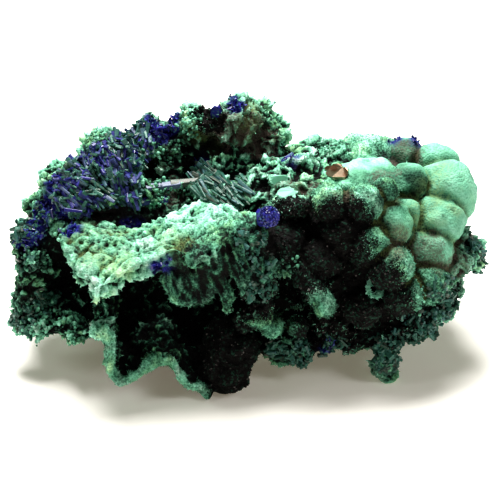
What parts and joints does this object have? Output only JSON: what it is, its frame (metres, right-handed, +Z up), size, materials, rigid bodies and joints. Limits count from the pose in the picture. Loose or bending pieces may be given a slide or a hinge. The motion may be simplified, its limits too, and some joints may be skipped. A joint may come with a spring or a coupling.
{
  "type": "malachite specimen",
  "caption": "Hand specimen of malachite and azurite: a cavernous lump with botryoidal balls, bladed crystals and a ledge over a hollow.",
  "frame": {"origin": "middle of the bounding box, on the plane that the specimen rests on", "axes": "+X along the specimen from the azurite end to the botryoidal end, +Y from the hollow in the front to the back, +Z up"},
  "size_m": [0.0722, 0.0408, 0.0397],
  "materials": {
    "malachite": "dull, granular to velvety green crust",
    "azurite": "glassy dark blue crystals under a thin green dust",
    "tenorite": "black, velvety, with fine sparkle",
    "copper": "dull pinkish brown metal, broken facets"
  },
  "bodies": {
    "root": {"malachite_specimen": "malachite"}
  },
  "joints": []
}
